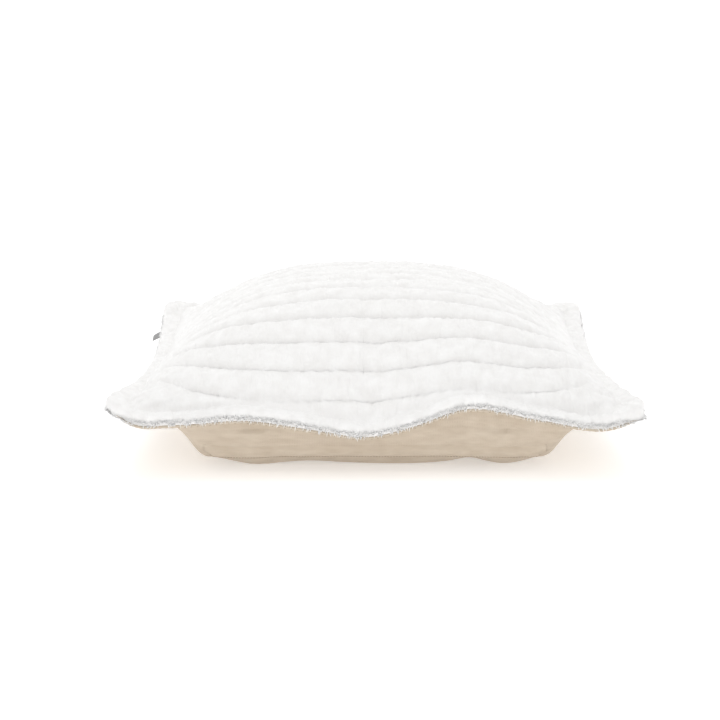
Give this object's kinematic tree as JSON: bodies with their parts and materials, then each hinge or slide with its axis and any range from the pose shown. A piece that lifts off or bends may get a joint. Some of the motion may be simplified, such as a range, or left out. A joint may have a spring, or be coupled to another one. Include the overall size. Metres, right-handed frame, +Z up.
{
  "type": "pet cushion bed",
  "caption": "Loosely filled square pet cushion: ribbed plush top over a canvas base, with a hidden zip along the front and a removable inner cushion.",
  "frame": {"origin": "on the floor, under the centre of the object's box", "axes": "+Z up, -Y towards the front edge with the zip, +X to the right seen from the front"},
  "size_m": [0.7032, 0.7, 0.2259],
  "materials": {
    "plush": "ribbed long-pile plush, near white, soft sheen",
    "canvas": "plain-weave cotton canvas, sand beige, matt",
    "binding": "folded canvas binding, sand beige, topstitched",
    "lining": "thin spunbond lining, off white, matt",
    "fibre": "loose polyester fibre, white",
    "zip_tape": "woven polyester tape, beige",
    "zip_nylon": "nylon coil, beige, slight gloss",
    "zip_metal": "plated die-cast metal, satin",
    "label": "woven satin tape, mid grey, folded"
  },
  "bodies": {
    "cushion": {"cover_plush_left": "plush", "cover_plush_right": "plush", "cover_base_panel": "canvas", "cover_front_strip": "canvas", "hem_binding": "binding", "side_label": "label", "inner_case_top": "lining", "inner_case_base": "lining", "fibre_fill": "fibre", "zip_flap": "canvas", "zip_tape_upper": "zip_tape", "zip_tape_lower": "zip_tape", "zip_coil_upper": "zip_nylon", "zip_coil_lower": "zip_nylon", "zip_top_stop_upper": "zip_metal", "zip_top_stop_lower": "zip_metal", "zip_bottom_stop": "zip_metal"},
    "slider": {"zip_slider": "zip_metal"},
    "pull_tab": {"zip_pull_tab": "zip_metal"}
  },
  "joints": [
    {"name": "zip_slider_travel", "type": "slide", "parent": "cushion", "child": "slider", "axis": [-1, 0, 0], "range_m": [0, 0.396]},
    {"name": "pull_tab_hinge", "type": "hinge", "parent": "slider", "child": "pull_tab", "pos_m": [0.198, -0.28638, 0.02593], "axis": [0, 0.7399, -0.6727], "range_deg": [0, 165], "deforming": ["zip_flap"]}
  ]
}
